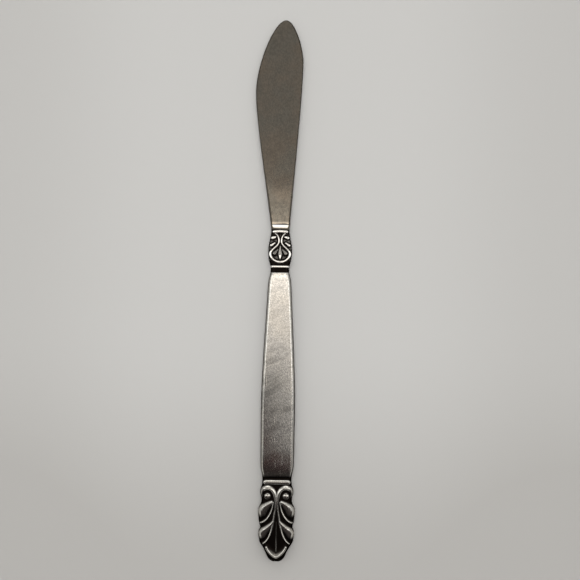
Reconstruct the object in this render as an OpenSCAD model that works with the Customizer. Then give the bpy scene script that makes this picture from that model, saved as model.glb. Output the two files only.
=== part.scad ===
// Butter knife with a hollow handle.
// A forged blade carries a long tang. The tang is cemented into a handle that is made of two
// die-struck half shells, soldered together along their side seam. Both shells carry a lyre
// scroll at the neck and an acanthus leaf with two volutes at the pommel.
// The knife lies on the flat panel of its back shell, with its tip towards +Y.

/* [Lengths] */
// Blade, from its shoulder to its tip
blade_length = 66; // [60:0.5:80]
// Neck ornament, between the blade's shoulder and the panel
neck_length = 13.4; // [12:0.1:16]
// Plain panel of the handle
panel_length = 64; // [54:0.5:80]
// Leaf ornament, from the panel to the end of the handle
pommel_length = 26.6; // [24:0.1:32]

/* [Handle section] */
// Panel at its widest
panel_width = 10.7; // [9.8:0.1:12]
// Panel at its neck end, before it turns in to the neck
panel_neck_width = 7; // [6.4:0.1:7.8]
// Leaf ornament across its upper leaves
pommel_width = 11.2; // [10:0.1:13]
// Lyre ornament at its widest
neck_width = 7.4; // [6.8:0.1:8]
// Mouth of the handle, which is also the blade's shoulder
collar_width = 5.7; // [5.2:0.1:6.2]
// Thickness across both panels at the pommel end
pommel_thickness = 5; // [4.6:0.1:6]
// Thickness across both panels at the neck end
neck_thickness = 3.8; // [3.6:0.1:4.4]
// Roundness of the panel's long edges
edge_round = 1; // [0.6:0.1:1.6]
// Roundness of the handle's end, in plan
end_round = 4.5; // [3.5:0.1:6]
// Sheet metal of the half shells
wall = 0.5; // [0.4:0.05:0.6]
// Solder film in the side seam
solder_film = 0.1; // [0.06:0.02:0.2]

/* [Ornament] */
// How far the ornament's ground is struck below the panel
struck_depth = 0.5; // [0.3:0.05:0.6]
// How far the ridges stay below the panel, so that the panel takes the wear
ridge_shy = 0.08; // [0.04:0.02:0.2]
// Width of a ridge at its foot
ridge_width = 0.9; // [0.6:0.02:1.1]
// Width of a ridge at its crest
crest_width = 0.36; // [0.2:0.02:0.5]
// Length over which the panel's pommel end rolls down
pommel_roll = 9; // [5:0.5:12]
// Length over which the panel's neck end rolls down
neck_roll = 0.6; // [0.4:0.1:3]

/* [Blade] */
// Reach of the spreading edge from the knife's axis
belly_reach = 8.3; // [7:0.1:10]
// Where the spreading edge reaches furthest, from the shoulder
belly_at = 43.5; // [36:0.5:48]
// Reach of the back edge from the knife's axis
spine_reach = 6.5; // [5.5:0.1:8]
// Where the back edge reaches furthest, from the shoulder
spine_at = 52.5; // [46:0.5:54]
// Offset of the tip from the knife's axis, towards the back edge
tip_offset = 0.95; // [0:0.05:2]
// Shoulder that seats on the handle's mouth
shoulder_thickness = 2.8; // [2.7:0.1:3.4]
// Back edge, past the bolster behind the shoulder
spine_thickness = 1.7; // [1.3:0.1:2.2]
// Back edge at the tip
tip_thickness = 0.9; // [0.6:0.1:1.3]
// Thickness of the spreading edge, as a share of the back edge's
belly_share = 0.55; // [0.4:0.05:0.9]
// Length of the bolster, which slopes from the shoulder down to the blade's thickness
bolster_length = 1.4; // [1:0.1:4]

/* [Tang] */
// Tang, from the shoulder to its end inside the handle
tang_length = 48; // [36:1:60]
// Width of the tang at the shoulder
tang_width = 2.8; // [2.2:0.1:3.2]
// Width of the tang at its end
tang_end_width = 1.6; // [1.2:0.1:2.2]
// Thickness of the tang
tang_thickness = 1.5; // [1.2:0.1:1.7]
// Gap around the tang and around the filler
fit_gap = 0.05; // [0.03:0.01:0.08]

/* [Hidden] */
steel = [0.72, 0.71, 0.69];
blade_steel = [0.60, 0.58, 0.55];
solder = [0.78, 0.76, 0.68];
cement = [0.55, 0.50, 0.42];

// Stations along the handle, counted from its end, and the panel's middle, which is the origin.
panel_start = pommel_length;
panel_end = pommel_length + panel_length;
mouth = panel_end + neck_length;
origin_at = panel_start + panel_length / 2;
taper = (pommel_thickness - neck_thickness) / 2 / panel_length;
lay_angle = atan(taper);
mid_height = (pommel_thickness + neck_thickness) / 4;

// The ornaments are drawn in millimetres on fields of these sizes, and stretched to the handle's.
leaf_field = [11.2, 26.6];
lyre_field = [7.4, 13.4];
leaf_scale = [pommel_width / leaf_field[0], pommel_length / leaf_field[1]];
lyre_scale = [neck_width / lyre_field[0], neck_length / lyre_field[1]];

// Bars across the handle, each with its distance from an end of the panel or from the mouth, and half its
// width.
leaf_bar_at = 1.5;
leaf_bar_half = 0.75;
lyre_low_bar_at = 1.75;
lyre_low_bar_half = 0.5;
lyre_top_bar_at = 0.55;
lyre_top_bar_half = 0.5;
leaf_bar_s = panel_start - leaf_bar_at;
low_bar_s = panel_end + lyre_low_bar_at;
top_bar_s = mouth - lyre_top_bar_at;

// Outline of the handle: half widths along its length, from the pommel's end to the mouth.
// The panel keeps its taper up to its last corner, then turns in to the waist below the lyre.
waist_share = 0.83;
flank_length = 5;
flank_width = 0.2;
panel_corner = 2.4;
waist_at = 0.4;
collar_run = 0.8;
leaf_outline = [
    [0, 0.71], [2.2, 0.63], [4.1, 0.71], [6.2, 0.935], [8.4, 0.965], [10.7, 0.9], [12.9, 0.99], [15.4, 1],
    [19.3, 0.845], [21.7, 0.915], [24.2, waist_share], [leaf_field[1], waist_share]
];
panel_outline = [[0.05, 0.97], [0.18, 0.988], [0.33, 1], [0.5, 0.955]];
lyre_outline = [[2.4, 0.84], [4, 0.95], [6.2, 1], [8.2, 0.985], [10.4, 0.88]];
outline = concat(
    [for (p = leaf_outline) [p[0] * leaf_scale[1], p[1] * pommel_width / 2]],
    [for (p = panel_outline) [panel_start + p[0] * panel_length, p[1] * panel_width / 2]],
    [[panel_end - flank_length, panel_neck_width / 2 + flank_width]],
    [[panel_end - panel_corner, panel_neck_width / 2], [panel_end + waist_at, collar_width / 2]],
    [for (p = lyre_outline) [panel_end + p[0] * lyre_scale[1], p[1] * neck_width / 2]],
    [[mouth - collar_run, collar_width / 2], [mouth, collar_width / 2]]
);

function mix(a, b, t) = a + (b - a) * t;
function ease(t) = let (x = min(max(t, 0), 1)) x * x * (3 - 2 * x);
function bump(d, half) = abs(d) >= half ? 0 : (1 + cos(180 * d / half)) / 2;
function quarter(t) = t >= 1 ? 1 : sqrt(1 - pow(1 - max(t, 0), 2));
function bezier(p, t) =
    pow(1 - t, 3) * p[0] + 3 * t * pow(1 - t, 2) * p[1] + 3 * t * t * (1 - t) * p[2] + pow(t, 3) * p[3];

// Smooth curve through a list of [place, value] pairs.
function slope(list, k) =
    let (a = max(k - 1, 0), b = min(k + 1, len(list) - 1))
    (list[b][1] - list[a][1]) / (list[b][0] - list[a][0]);
function through(list, x) =
    let (
        k = max([for (i = [0:len(list) - 2]) if (i == 0 || list[i][0] <= x) i]),
        span = list[k + 1][0] - list[k][0],
        t = (x - list[k][0]) / span,
        t2 = t * t,
        t3 = t2 * t
    )
    (2 * t3 - 3 * t2 + 1) * list[k][1] + (t3 - 2 * t2 + t) * span * slope(list, k)
    + (3 * t2 - 2 * t3) * list[k + 1][1] + (t3 - t2) * span * slope(list, k + 1);

// The handle's half section at a station: half width, half height and corner.
function half_width(s) = through(outline, s) * quarter(s / end_round);
function panel_height(s) = mid_height - taper * (s - origin_at);
function panel_mask(s) =
    min(quarter((s - panel_start) / pommel_roll), quarter((panel_end - s) / neck_roll));
function ground_height(s) = panel_height(s) - struck_depth * (1 - panel_mask(s));
function bars(s) =
    bump(s - leaf_bar_s, leaf_bar_half) + bump(s - low_bar_s, lyre_low_bar_half)
    + bump(s - top_bar_s, lyre_top_bar_half);
end_fall = 2.4;
function half_height(s) =
    (ground_height(s) + (struck_depth - ridge_shy) * bars(s)) * quarter(s / end_fall);
corner_share = 0.34;
leaf_run = 8;
function corner(s) =
    let (struck = corner_share * half_width(s))
    s > panel_end
        ? min(struck, edge_round)
        : mix(struck, edge_round, ease((s - panel_start) / leaf_run + 1));

// Height of the handle's surface above the seam, at a place across and along it.
function skin_height(u, s) =
    let (w = half_width(s), r = corner(s), out = (abs(u) - (w - r)) / r)
    half_height(s) * (out <= 0 ? 1 : sqrt(max(1 - out * out, 0)));

// Stations of the loft: close together where the section changes quickly.
function spread(a, b, n) = [for (i = [0:n - 1]) mix(a, b, i / n)];
function bar_stations(at, half) = [for (k = [-1, -0.5, -0.15, 0.15, 0.5]) at + k * half];
stations = concat(
    [for (a = [4, 18, 36, 54, 72]) end_fall * (1 - cos(a))],
    spread(end_fall, leaf_bar_s - leaf_bar_half, 16),
    bar_stations(leaf_bar_s, leaf_bar_half),
    [leaf_bar_s + leaf_bar_half],
    [for (a = [4, 16, 36, 60]) panel_start + pommel_roll * (1 - cos(a))],
    spread(panel_start + pommel_roll, panel_end - panel_corner, 6),
    [panel_end - panel_corner],
    [for (a = [90, 60, 36, 16, 4]) panel_end - neck_roll * (1 - cos(a))],
    bar_stations(low_bar_s, lyre_low_bar_half),
    spread(low_bar_s + lyre_low_bar_half, top_bar_s - lyre_top_bar_half, 7),
    bar_stations(top_bar_s, lyre_top_bar_half),
    [mouth]
);
cavity_stations = concat(
    spread(end_round, panel_start, 6),
    spread(panel_start, panel_start + pommel_roll, 3),
    spread(panel_start + pommel_roll, panel_end - panel_corner, 5),
    [panel_end - panel_corner],
    spread(panel_end - neck_roll, panel_end, 3),
    spread(panel_end, mouth, 5)
);

// One row of points over a half section, from its left seam to its right seam.
corner_steps = 3;
rising = [for (k = [0:corner_steps]) 90 * k / corner_steps];
falling = [for (k = [corner_steps:-1:0]) rising[k]];
function half_row(s, w, h, r, z0) = concat(
    [for (a = rising) [-(w - r) - r * cos(a), s, max(h * sin(a), z0)]],
    [for (a = falling) [(w - r) + r * cos(a), s, max(h * sin(a), z0)]]
);
row_size = len(rising) + len(falling);

// Solid between a row of half sections and the seam plane.
module half_loft(rows) {
    n = len(rows);
    m = row_size;
    polyhedron(
        points = [for (row = rows) each row],
        faces = concat(
            [for (i = [0:n - 2], j = [0:m - 2]) [i * m + j, (i + 1) * m + j, (i + 1) * m + j + 1]],
            [for (i = [0:n - 2], j = [0:m - 2]) [i * m + j, (i + 1) * m + j + 1, i * m + j + 1]],
            [for (i = [0:n - 2]) [i * m, i * m + m - 1, (i + 1) * m + m - 1, (i + 1) * m]],
            [[for (j = [0:m - 1]) j]],
            [[for (j = [m - 1:-1:0]) (n - 1) * m + j]]
        )
    );
}

// Turns the knife from its own frame, counted along the handle, to the frame in which it lies on its panel.
module lay() {
    translate([0, 0, mid_height * cos(lay_angle)]) rotate([-lay_angle, 0, 0]) translate([0, -origin_at, 0])
        children();
}

// Inside of one shell, drawn in by an inset from the ground of the ornament. It starts low at the pommel
// and rises to its full height, and reaches a little past the seam plane.
cavity_lead = 2;
cavity_rise = 6;
seam_lap = 0.01;
module half_cavity(inset, overrun) {
    half_loft([
        for (s = concat(cavity_stations, [mouth + overrun]))
            let (
                at = min(s, mouth),
                w = half_width(at) - inset,
                h = (ground_height(at) - inset) * quarter((at - end_round + cavity_lead) / cavity_rise)
            )
            half_row(s, w, h, min(corner(at), 0.6 * w), -seam_lap)
    ]);
}

// Section of a ridge where it stands on the ground: both feet sunk in, and a crest.
ridge_sink = 0.25;
function ridge_rise(size) = (struck_depth - ridge_shy) * min(1.2 * size, 1);
function ridge_section(at, along, size) =
    let (
        side = [along[1], -along[0]] / norm(along),
        foot = size * ridge_width / 2,
        top = size * crest_width / 2,
        rise = ridge_rise(size) / 0.9
    )
    [for (c = [[-foot, -ridge_sink], [-top, 0.9 * rise], [top, 0.9 * rise], [foot, -ridge_sink]])
        let (p = at + side * c[0])
        [p[0], p[1], max(skin_height(p[0], p[1]) + c[1], solder_film)]];

// A ridge along a chain of curves of its ornament's field, which grows or thins from one size to another.
module ridge(curves, field_scale, along, steps, size_from = 1, size_to = 1) {
    drawn = concat(
        [for (c = curves, i = [0:steps - 1]) bezier(c, i / steps)],
        [curves[len(curves) - 1][3]]
    );
    route = [for (p = drawn) [p[0] * field_scale[0], along + p[1] * field_scale[1]]];
    last = len(route) - 1;
    sections = [
        for (i = [0:last])
            let (ahead = route[min(i + 1, last)] - route[max(i - 1, 0)])
            ridge_section(route[i], ahead, mix(size_from, size_to, i / last))
    ];
    m = len(sections[0]);
    polyhedron(
        points = [for (section = sections) each section],
        faces = concat(
            [for (i = [0:last - 1], j = [0:m - 1])
                [i * m + j, (i + 1) * m + j, (i + 1) * m + (j + 1) % m]],
            [for (i = [0:last - 1], j = [0:m - 1])
                [i * m + j, (i + 1) * m + (j + 1) % m, i * m + (j + 1) % m]],
            [for (j = [1:m - 2]) [0, j, j + 1]],
            [for (j = [1:m - 2]) [last * m, last * m + j + 1, last * m + j]]
        )
    );
}

// The same chain, carried on over the axis as its own mirror image.
function mirrored(curve) = [for (k = [3:-1:0]) [-curve[k][0], curve[k][1]]];
function over_axis(curves) =
    concat(curves, [for (k = [len(curves) - 1:-1:0]) mirrored(curves[k])]);

// A rounded boss on the ground.
module boss(at, radius, field_scale, along) {
    u = at[0] * field_scale[0];
    s = along + at[1] * field_scale[1];
    rise = ridge_rise(2 * radius / ridge_width);
    translate([u, s, skin_height(u, s) - ridge_sink]) scale([1, 1, (ridge_sink + rise) / radius])
        sphere(r = radius, $fn = 12);
}

// A drop between two bosses, such as a bud, a petal or the eye of a volute.
module drop(from, from_radius, to, to_radius, field_scale, along) {
    hull() {
        boss(from, from_radius, field_scale, along);
        boss(to, to_radius, field_scale, along);
    }
}

module both_sides() {
    children();
    mirror([1, 0, 0]) children();
}

// Acanthus leaf with two volutes, on the pommel.
// Places on its field are across the axis and up from the handle's end.
// The stem is one line: the lower leaf's rib, which rises along the axis and rolls over into the volute.
stem = [
    [[4, 6.05], [1.5, 7.6], [1.1, 12.4], [0.42, 16.4]],
    [[0.42, 16.4], [0.1, 18.4], [0.1, 23.2], [2.95, 23.2]],
    [[2.95, 23.2], [4.6, 23.2], [5.2, 21.6], [4.3, 20.1]]
];
upper_leaf_edge = [[1.5, 19.1], [2.4, 18.7], [3.7, 18], [4.6, 17.3]];
upper_leaf_rib = [[1.05, 18.8], [1.3, 15.6], [3, 13], [4.65, 12.45]];
lower_leaf_edge = [[1.15, 12.9], [1.9, 12], [3.2, 11], [4.6, 9.9]];
tongue_rim = [[2.6, 4.9], [2.45, 3.7], [1.2, 2.35], [0, 1.75]];
tongue_vein = [[0, 12.6], [0, 10], [0, 7], [0, 4.4]];

module leaf_relief() {
    both_sides() {
        ridge(stem, leaf_scale, 0, 7, 0.8, 1.1);
        drop([2.95, 20.95], 0.7, [3.1, 20.8], 0.85, leaf_scale, 0);
        ridge([upper_leaf_edge], leaf_scale, 0, 4, 0.9, 1.8);
        ridge([upper_leaf_rib], leaf_scale, 0, 8, 0.6, 1.1);
        ridge([lower_leaf_edge], leaf_scale, 0, 5, 0.7, 1.5);
    }
    ridge(over_axis([tongue_rim]), leaf_scale, 0, 5, 1.1, 1.1);
    ridge([tongue_vein], leaf_scale, 0, 2, 0.4, 0.7);
}

// Lyre scroll with a bud, on the neck.
// Places on its field are across the axis and up from the panel's end.
lyre = [
    [[1.5, 11.9], [0.75, 11.6], [0.36, 10.7], [0.36, 9.8]],
    [[0.36, 9.8], [0.4, 7.9], [2.7, 7.6], [2.95, 5.8]],
    [[2.95, 5.8], [2.9, 4.4], [1.6, 3.15], [0, 3.15]]
];

module lyre_relief() {
    ridge(over_axis(lyre), lyre_scale, panel_end, 5, 0.95, 0.95);
    both_sides() {
        drop([1.7, 11.2], 0.4, [2.35, 10.95], 0.55, lyre_scale, panel_end);
        drop([1.8, 9.1], 0.35, [2.75, 8.5], 0.5, lyre_scale, panel_end);
        drop([0.5, 7.2], 0.2, [1.4, 6.2], 0.6, lyre_scale, panel_end);
    }
    drop([0, 8], 0.14, [0, 5.4], 0.48, lyre_scale, panel_end);
    drop([0, 5.4], 0.48, [0, 4.5], 0.2, lyre_scale, panel_end);
}

// One half shell, in the knife's own frame, above its seam plane.
module half_shell() {
    seam = solder_film / 2;
    difference() {
        union() {
            half_loft([for (s = stations) half_row(s, half_width(s), half_height(s), corner(s), seam)]);
            leaf_relief();
            lyre_relief();
        }
        half_cavity(wall, 1);
    }
}

// Tang, grown by a gap all round, from inside the shoulder to its end.
module tang(gap, root) {
    translate([0, 0, -tang_thickness / 2 - gap]) linear_extrude(tang_thickness + 2 * gap) polygon([
        [-tang_width / 2 - gap, mouth + root],
        [-tang_end_width / 2 - gap, mouth - tang_length - gap],
        [tang_end_width / 2 + gap, mouth - tang_length - gap],
        [tang_width / 2 + gap, mouth + root]
    ]);
}

// Edges of the blade in plan, from the shoulder to the tip, each as two curves.
tip = [tip_offset, blade_length];
belly_low = [
    [-collar_width / 2, 0], [-0.54 * belly_reach, 0.31 * belly_at],
    [-belly_reach, 0.79 * belly_at], [-belly_reach, belly_at]
];
belly_top = [
    [-belly_reach, belly_at], [-belly_reach, belly_at + 0.37 * (blade_length - belly_at)],
    tip - [0.43 * (belly_reach + tip_offset), 0], tip
];
spine_low = [
    [collar_width / 2, 0], [0.63 * spine_reach, 0.33 * spine_at],
    [0.95 * spine_reach, 0.74 * spine_at], [spine_reach, spine_at]
];
spine_top = [
    [spine_reach, spine_at], [spine_reach, spine_at + 0.37 * (blade_length - spine_at)],
    tip + [0.51 * (spine_reach - tip_offset), 0], tip
];

// Half thickness of the blade at a place: the bolster at the shoulder, and the taper to tip and belly.
function blade_half(u, y) =
    let (
        bolster = max(1 - y / bolster_length, 0),
        along = mix(spine_thickness, tip_thickness, y / blade_length) / 2,
        across = mix(belly_share, 1, ease((u + belly_reach) / (belly_reach + spine_reach)))
    )
    mix(along * across, shoulder_thickness / 2, bolster);

// One closed section of the blade between its two edges, rounded along both.
rib_places = [0, 0.006, 0.02, 0.05, 0.12, 0.3, 0.5, 0.7, 0.88, 0.95, 0.98, 0.994, 1];
edge_squareness = 24;
function edge_fall(q) = pow(max(1 - pow(abs(2 * q - 1), edge_squareness), 0), 0.5);
function blade_rib(left, right) =
    let (top = [
        for (q = rib_places)
            let (p = mix(left, right, q))
            [p[0], mouth + p[1], blade_half(p[0], p[1]) * edge_fall(q)]
    ])
    concat(top, [for (k = [len(top) - 2:-1:1]) [top[k][0], top[k][1], -top[k][2]]]);
low_steps = 24;
top_steps = 14;
blade_ribs = concat(
    [for (i = [0:low_steps - 1])
        let (t = pow(i / low_steps, 1.6)) blade_rib(bezier(belly_low, t), bezier(spine_low, t))],
    [for (i = [0:top_steps - 1])
        let (t = 1 - pow(1 - i / top_steps, 1.3)) blade_rib(bezier(belly_top, t), bezier(spine_top, t))]
);

module blade_body() {
    n = len(blade_ribs);
    m = len(blade_ribs[0]);
    apex = n * m;
    polyhedron(
        points = concat([for (rib = blade_ribs) each rib], [[tip[0], mouth + tip[1], 0]]),
        faces = concat(
            [for (i = [0:n - 2], j = [0:m - 1])
                [i * m + j, (i + 1) * m + j, (i + 1) * m + (j + 1) % m]],
            [for (i = [0:n - 2], j = [0:m - 1])
                [i * m + j, (i + 1) * m + (j + 1) % m, i * m + (j + 1) % m]],
            [for (j = [0:m - 1]) [(n - 1) * m + j, apex, (n - 1) * m + (j + 1) % m]],
            [[for (j = [0:m - 1]) j]]
        )
    );
}

module blade() {
    color(blade_steel) lay() {
        blade_body();
        tang(0, 1);
    }
}

module handle_front() {
    color(steel) lay() half_shell();
}

module handle_back() {
    color(steel) lay() mirror([0, 0, 1]) half_shell();
}

// Film of solder in the seam: the handle's outline less the cavity.
module seam_solder() {
    color(solder) lay() translate([0, 0, -solder_film / 2]) linear_extrude(solder_film) difference() {
        polygon(concat(
            [for (s = stations) [-half_width(s), s]],
            [for (i = [len(stations) - 1:-1:0]) [half_width(stations[i]), stations[i]]]
        ));
        polygon(concat(
            [for (s = concat(cavity_stations, [mouth])) [-(half_width(s) - wall), s]],
            [for (i = [len(cavity_stations):-1:0])
                let (s = i == len(cavity_stations) ? mouth : cavity_stations[i]) [half_width(s) - wall, s]]
        ));
    }
}

// Cement cast round the tang, which holds the blade in the handle.
module handle_filler() {
    color(cement) lay() difference() {
        union() {
            half_cavity(wall + fit_gap, 0);
            mirror([0, 0, 1]) half_cavity(wall + fit_gap, 0);
        }
        tang(fit_gap, 1);
    }
}

blade();
handle_front();
handle_back();
seam_solder();
handle_filler();
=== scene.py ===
"""Butter knife with a hollow handle: its modelled surfaces, finishes, light and camera.

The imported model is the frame. The blade and both half shells are modelled again with their full relief,
at the sizes of the solids that they stand for. The solder film and the cement keep their solids and get a
finish. Sizes are in millimetres, and stations along the handle count from the pommel's end.
"""

import logging
import math
from dataclasses import dataclass, field
from enum import Enum

import bmesh
import bpy
import numpy as np
from mathutils import Matrix, Vector


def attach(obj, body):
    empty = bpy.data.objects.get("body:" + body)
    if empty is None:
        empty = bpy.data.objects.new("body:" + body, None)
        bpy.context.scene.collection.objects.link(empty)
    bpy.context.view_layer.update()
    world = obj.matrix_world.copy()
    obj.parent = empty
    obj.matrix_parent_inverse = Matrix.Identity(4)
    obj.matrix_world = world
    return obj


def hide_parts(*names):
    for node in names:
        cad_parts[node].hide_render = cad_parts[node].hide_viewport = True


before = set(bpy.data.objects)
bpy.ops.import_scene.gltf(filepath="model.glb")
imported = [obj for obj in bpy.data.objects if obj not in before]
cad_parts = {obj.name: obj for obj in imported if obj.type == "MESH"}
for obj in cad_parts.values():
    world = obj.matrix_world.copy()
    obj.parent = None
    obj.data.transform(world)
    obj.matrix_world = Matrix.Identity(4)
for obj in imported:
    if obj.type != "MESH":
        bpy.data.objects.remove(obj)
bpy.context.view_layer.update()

MM = 0.001
BODY = "root"
# The bareness in this attribute also carries painted shade on steep sides, blade edges and ridge feet, and
# painted highlights on the neck's crests and the bolster.
RELIEF = "relief"  # The attribute that says how bare the metal is.
RISE = 0.42  # Usual height of an ornament's line.
WELD = 1e-5  # Vertices nearer than this are one.
NEAR = 1e-4  # Stations nearer than this are the same.
TINY = 1e-9  # Keeps a length from being nothing.
LOG = logging.getLogger("butter_knife")

Array = np.ndarray
Pair = tuple[float, float]
Curve = tuple[Pair, Pair, Pair, Pair]
Colour = tuple[float, float, float, float]
Socket = bpy.types.NodeSocket


class Slot(Enum):
    """The record's material slots for the modelled pieces; nothing in this script hands them to the pieces.
    """

    BLADE = "blade_steel"
    HANDLE = "handle_steel"


class Side(Enum):
    """The two faces of the knife, each with its direction along the thickness."""

    FRONT = 1
    BACK = -1


class Fall(Enum):
    """How one side of a raised line falls from its crest to its foot."""

    ROUND = "round"
    FULL = "full"
    LEVEL = "level"
    SOFT = "soft"
    LONG = "long"
    FLAT = "flat"

    def height(self, share: Array) -> Array:
        """Gives the height left at a share of the way down.

        Args:
            share: 0 at the crest and 1 at the foot.

        Returns:
            1 at the crest, falling to 0 at the foot and past it.
        """
        t = np.clip(share, 0.0, 1.0)
        if self is Fall.ROUND:
            return np.sqrt(1.0 - t * t)
        if self is Fall.FULL:
            return 1.0 - t * t
        if self is Fall.LEVEL:
            return 1.0 - ease(2.0 * t - 1.0)
        if self is Fall.SOFT:
            return (1.0 - t * t) ** 2
        return 1.0 - ease(t) if self is Fall.LONG else 1.0 - t


def mix(a: Array, b: Array, share: Array) -> Array:
    """Goes from a to b by a share."""
    return a + (b - a) * share


def ease(share: Array) -> Array:
    """Goes smoothly from 0 to 1."""
    t = np.clip(share, 0.0, 1.0)
    return t * t * (3.0 - 2.0 * t)


def over(value: Array, span: Pair) -> Array:
    """Goes smoothly from 0 to 1 while a value crosses a span."""
    return ease((value - span[0]) / (span[1] - span[0]))


def quarter(share: Array) -> Array:
    """Rises from 0 to 1 along a quarter round."""
    return np.sqrt(1.0 - (1.0 - np.clip(share, 0.0, 1.0)) ** 2)


def bezier(curve: Curve, share: Array) -> Array:
    """Gives points of a cubic curve.

    Args:
        curve: The curve's two ends and two handles, in order.
        share: Shares of the way along the curve.

    Returns:
        One row of two coordinates for each share.
    """
    a, b, c, d = (np.array(p) for p in curve)
    t = np.asarray(share, float)[:, None]
    return (1 - t) ** 3 * a + 3 * t * (1 - t) ** 2 * b + 3 * t * t * (1 - t) * c + t**3 * d


def straight(start: Pair, end: Pair) -> Curve:
    """Gives a straight line as a curve."""
    a, b = np.array(start), np.array(end)
    return start, tuple(mix(a, b, 1 / 3)), tuple(mix(a, b, 2 / 3)), end


@dataclass(frozen=True)
class SmoothLine:
    """A smooth curve through pairs of place and value."""

    pairs: tuple[Pair, ...]

    def at(self, place: Array) -> Array:
        """Gives the curve's value at each place.

        Args:
            place: Places between the first pair's and the last pair's.

        Returns:
            The values there.
        """
        places, values = np.array(self.pairs).T
        last = len(places) - 1
        before = np.clip(np.arange(last + 1) - 1, 0, last)
        after = np.clip(np.arange(last + 1) + 1, 0, last)
        slopes = (values[after] - values[before]) / (places[after] - places[before])
        k = np.clip(np.searchsorted(places, place, side="right") - 1, 0, last - 1)
        span = places[k + 1] - places[k]
        t = (place - places[k]) / span
        rising = t * t * (3 - 2 * t)
        return (
            mix(values[k], values[k + 1], rising)
            + span * slopes[k] * t * (1 - t) ** 2
            - span * slopes[k + 1] * t * t * (1 - t)
        )


@dataclass(frozen=True)
class RaisedLine:
    """A raised line of an ornament, along a chain of curves on the ornament's field.

    Widths and rises are given at the line's start and end. Left and right are as seen going along it.
    """

    curves: tuple[Curve, ...]
    left: Pair
    right: Pair
    rise: Pair = (RISE, RISE)
    left_fall: Fall = Fall.SOFT
    right_fall: Fall = Fall.SOFT
    steps: int = 14

    def route(self) -> Array:
        """Gives the points of the line's crest."""
        shares = np.linspace(0.0, 1.0, self.steps, endpoint=False)
        runs = [bezier(curve, shares) for curve in self.curves]
        return np.vstack([*runs, np.array(self.curves[-1][3])])

    def nearest(self, u: Array, s: Array) -> tuple[Array, Array, Array]:
        """Finds the nearest place on the line's crest.

        Args:
            u: Places across the axis.
            s: Places along the axis.

        Returns:
            The distance to the crest, the share of the way along it, and whether the place is on its left.
        """
        points = self.route()
        distance = np.full(u.shape, np.inf)
        share = np.zeros(u.shape)
        left = np.zeros(u.shape, bool)
        for k, (a, b) in enumerate(zip(points[:-1], points[1:])):
            run = b - a
            t = np.clip(((u - a[0]) * run[0] + (s - a[1]) * run[1]) / (run @ run), 0.0, 1.0)
            du, ds = u - a[0] - t * run[0], s - a[1] - t * run[1]
            here = np.hypot(du, ds)
            closer = here < distance
            distance = np.where(closer, here, distance)
            share = np.where(closer, (k + t) / (len(points) - 1), share)
            left = np.where(closer, run[0] * ds > run[1] * du, left)
        return distance, share, left

    def height(self, u: Array, s: Array) -> tuple[Array, Array]:
        """Gives the line's height above the ground.

        Args:
            u: Places across the axis.
            s: Places along the axis.

        Returns:
            The height at each place, 0 away from the line, and the distance past the line's foot.
        """
        distance, share, left = self.nearest(u, s)
        foot = np.where(left, mix(*self.left, share), mix(*self.right, share))
        fall = np.where(
            left, self.left_fall.height(distance / foot), self.right_fall.height(distance / foot)
        )
        return mix(*self.rise, share) * fall, distance - foot


def drop(
    start: Pair,
    start_radius: float,
    end: Pair,
    end_radius: float,
    rise: float = RISE,
    fall: Fall = Fall.ROUND,
) -> RaisedLine:
    """Makes a drop, such as a bud, a petal or the eye of a volute.

    Args:
        start: Middle of its first end.
        start_radius: Radius of its first end.
        end: Middle of its second end.
        end_radius: Radius of its second end.
        rise: Height of its top.
        fall: The shape of its sides.

    Returns:
        The drop as a short raised line.
    """
    radii = (start_radius, end_radius)
    return RaisedLine((straight(start, end),), radii, radii, (rise, rise), fall, fall)


def bar(
    at: float, reach: float, half: float, arch: float = 0.0, rise: float = RISE, fall: Fall = Fall.ROUND
) -> RaisedLine:
    """Makes a rounded bar across the handle.

    Args:
        at: Its place along the ornament's field.
        reach: Its end's distance from the axis.
        half: Half its width.
        arch: How far its ends drop below its middle.
        rise: Height of its top.
        fall: The shape of its two sides.

    Returns:
        The bar's right half, as a raised line that starts on the axis.
    """
    bend = (0.8 * reach, at - arch / 2)
    line = ((0.0, at), (reach / 2, at), bend, (reach, at - arch))
    return RaisedLine((line,), (half, half), (half, half), (rise, rise), fall, fall)


@dataclass(frozen=True)
class Ornament:
    """Raised lines on a struck ground, drawn for the right half and mirrored over the axis."""

    start: float
    lines: tuple[RaisedLine, ...]

    def height(self, u: Array, s: Array) -> tuple[Array, Array]:
        """Gives the height of the highest line at each place.

        Args:
            u: Places across the axis.
            s: Stations along the handle.

        Returns:
            The height above the ground, and the distance past the nearest line's foot.
        """
        heights, clear = zip(*(line.height(np.abs(u), s - self.start) for line in self.lines))
        return np.max(heights, axis=0), np.min(clear, axis=0)


TONGUE_RIM = ((3.0, 4.9), (2.6, 3.7), (1.3, 2.35), (0.0, 1.75))

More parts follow.
